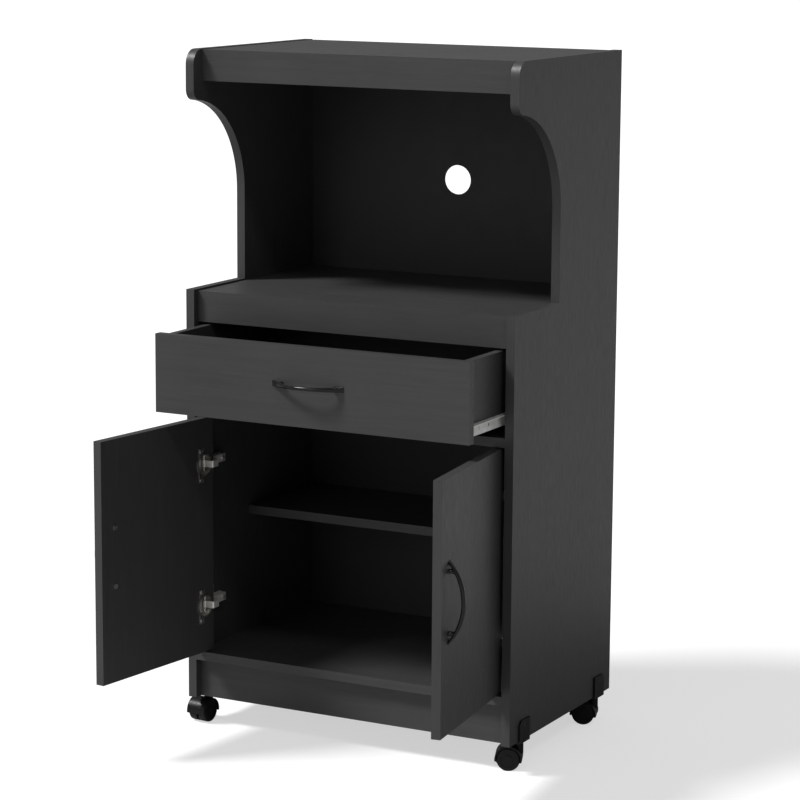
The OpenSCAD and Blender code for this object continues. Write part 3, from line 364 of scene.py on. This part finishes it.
# The last stations stop just short of the ends, where the bow has no thickness left
BOW_REACH = 0.999
# 1 would make the cross-section an ellipse, 0 a rectangle
SQUARENESS = 0.72
FOOT_SPACING = 96.0 * MM
FOOT_R = 3.8 * MM
# A foot widens by this factor over its last bit, against the board
FOOT_FLARE = 1.08
FOOT_FLARE_H = 0.6 * MM
BOW_STATIONS = 72
RING_POINTS = 28
# How far the doors stand open
DOOR_TURN = math.radians(97.0)


def arc_height(u, half, rise):
    """Height at u of a circular arc of the given half length and rise; none past its ends."""
    if abs(u) >= half:
        return 0.0
    r = (half * half + rise * rise) / (2 * rise)
    return math.sqrt(r * r - u * u) - (r - rise)


def squarish(value):
    """Sine or cosine of a rounded-rectangle outline."""
    return math.copysign(abs(value) ** SQUARENESS, value)


def skin(shape, rings):
    """Faces that join rings of points into a closed tube."""
    for first, second in zip(rings, rings[1:]):
        for j in range(RING_POINTS):
            k = (j + 1) % RING_POINTS
            shape.faces.new((first[j], first[k], second[k], second[j]))
    shape.faces.new(rings[0])
    shape.faces.new(list(reversed(rings[-1])))


def bow_mesh(name, matrix):
    """A bow along X that stands out towards -Y from the face y = 0, on two feet."""
    shape = bmesh.new()
    rings = []
    for i in range(BOW_STATIONS + 1):
        u = BOW_HALF * math.sin(math.pi * (i / BOW_STATIONS - 0.5)) * BOW_REACH
        outer = arc_height(u, BOW_HALF, BOW_OUT)
        inner = arc_height(u, BOW_INNER_HALF, BOW_OUT - BOW_THICK)
        width = BOW_WAIST + (BOW_WIDTH - BOW_WAIST) * (u / BOW_HALF) ** 2
        ring = []
        for j in range(RING_POINTS):
            a = 2 * math.pi * j / RING_POINTS
            y = (outer + inner) / 2 + (outer - inner) / 2 * squarish(math.cos(a))
            ring.append(shape.verts.new((u, -y, width / 2 * squarish(math.sin(a)))))
        rings.append(ring)
    skin(shape, rings)
    for side in (-1, 1):
        x = side * FOOT_SPACING / 2
        top = (arc_height(x, BOW_HALF, BOW_OUT) + arc_height(x, BOW_INNER_HALF, BOW_OUT - BOW_THICK)) / 2
        foot = []
        for y, grow in ((0.0, FOOT_FLARE), (FOOT_FLARE_H, 1.0), (top, 1.0)):
            foot.append([shape.verts.new((x + FOOT_R * grow * math.cos(2 * math.pi * j / RING_POINTS), -y,
                                          FOOT_R * grow * math.sin(2 * math.pi * j / RING_POINTS)))
                         for j in range(RING_POINTS)])
        skin(shape, foot)
    bmesh.ops.transform(shape, matrix=matrix, verts=shape.verts)
    bmesh.ops.recalc_face_normals(shape, faces=shape.faces)
    mesh = bpy.data.meshes.new(name)
    shape.to_mesh(mesh)
    shape.free()
    for face in mesh.polygons:
        face.use_smooth = len(face.vertices) == 4
    return mesh


def bow(name, node, body, matrix):
    """A smooth bow handle in place of a CAD one, centred in its box."""
    mesh = bow_mesh(name, matrix)
    low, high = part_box(node)
    ends = [[pick(v.co[i] for v in mesh.vertices) for i in range(3)] for pick in (min, max)]
    middle = (Vector(ends[0]) + Vector(ends[1])) / 2
    mesh.transform(Matrix.Translation((low + high) / 2 - middle))
    mesh.materials.append(gloss)
    piece = bpy.data.objects.new(name, mesh)
    bpy.context.scene.collection.objects.link(piece)
    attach(piece, body)
    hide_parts(node)


UPRIGHT_BOW = Matrix.Rotation(math.radians(90.0), 4, "Y")
bow("bow_drawer", "drawer_handle", "drawer", Matrix.Identity(4))
bow("bow_door_left", "door_left_handle", "door_left", Matrix.Rotation(-DOOR_TURN, 4, "Z") @ UPRIGHT_BOW)
bow("bow_door_right", "door_right_handle", "door_right", Matrix.Rotation(DOOR_TURN, 4, "Z") @ UPRIGHT_BOW)


# ---------- Floor and light ----------

# What the camera sees of the floor on top of its lit colour, so that it comes out near white
FLOOR_GLOW = 0.58
FLOOR_HALF = 30.0
BACKDROP = 1.05
AMBIENT = 0.22
# Name, direction towards the lamp, softness in degrees, strength
LAMPS = (("key", (-0.50, -0.40, 0.77), 14.0, 3.7),
         ("fill", (-0.12, -0.94, 0.30), 24.0, 0.25),
         ("glint", (0.50, -0.48, 0.72), 7.0, 0.3))


def make_floor():
    """Plain pale floor, wide enough that its edge is never seen."""
    mesh = bpy.data.meshes.new("floor")
    shape = bmesh.new()
    bmesh.ops.create_grid(shape, x_segments=1, y_segments=1, size=FLOOR_HALF)
    shape.to_mesh(mesh)
    shape.free()
    floor = bpy.data.objects.new("floor", mesh)
    bpy.context.scene.collection.objects.link(floor)
    n = Nodes("floor_white")
    speck = n.noise((3.0, 3.0, 3.0), detail=2.0)
    glow = n.add("ShaderNodeMath", operation="MULTIPLY")
    n.link(n.add("ShaderNodeLightPath").outputs["Is Camera Ray"], glow.inputs[0])
    glow.inputs[1].default_value = FLOOR_GLOW
    floor.data.materials.append(
        n.set(Base_Color=n.ramp(speck, 0.2, 0.8, (0.47, 0.47, 0.47), (0.49, 0.49, 0.49)), Roughness=0.9,
              Specular_IOR_Level=0.0, Emission_Color=(1.0, 1.0, 1.0, 1.0),
              Emission_Strength=glow.outputs["Value"]))


def make_lamp(name, towards, softness, strength):
    """Soft lamp without a place, in one direction from the object."""
    data = bpy.data.lights.new(name, "SUN")
    data.angle = math.radians(softness)
    data.energy = strength
    lamp = bpy.data.objects.new(name, data)
    lamp.rotation_euler = Vector(towards).to_track_quat("Z", "Y").to_euler()
    bpy.context.scene.collection.objects.link(lamp)


def make_world(ambient):
    """Dim even surroundings behind a plain white backdrop."""
    world = bpy.data.worlds.new("studio")
    world.use_nodes = True
    tree = world.node_tree
    sky = tree.nodes["Background"]
    sky.inputs["Color"].default_value = (1.0, 1.0, 1.0, 1.0)
    seen = tree.nodes.new("ShaderNodeLightPath").outputs["Is Camera Ray"]
    level = tree.nodes.new("ShaderNodeMapRange")
    level.inputs["To Min"].default_value = ambient
    level.inputs["To Max"].default_value = BACKDROP
    tree.links.new(seen, level.inputs["Value"])
    tree.links.new(level.outputs["Result"], sky.inputs["Strength"])
    bpy.context.scene.world = world


make_camera()
make_floor()
make_world(AMBIENT)
for lamp in LAMPS:
    make_lamp(*lamp)
bpy.context.scene.view_settings.view_transform = "Standard"
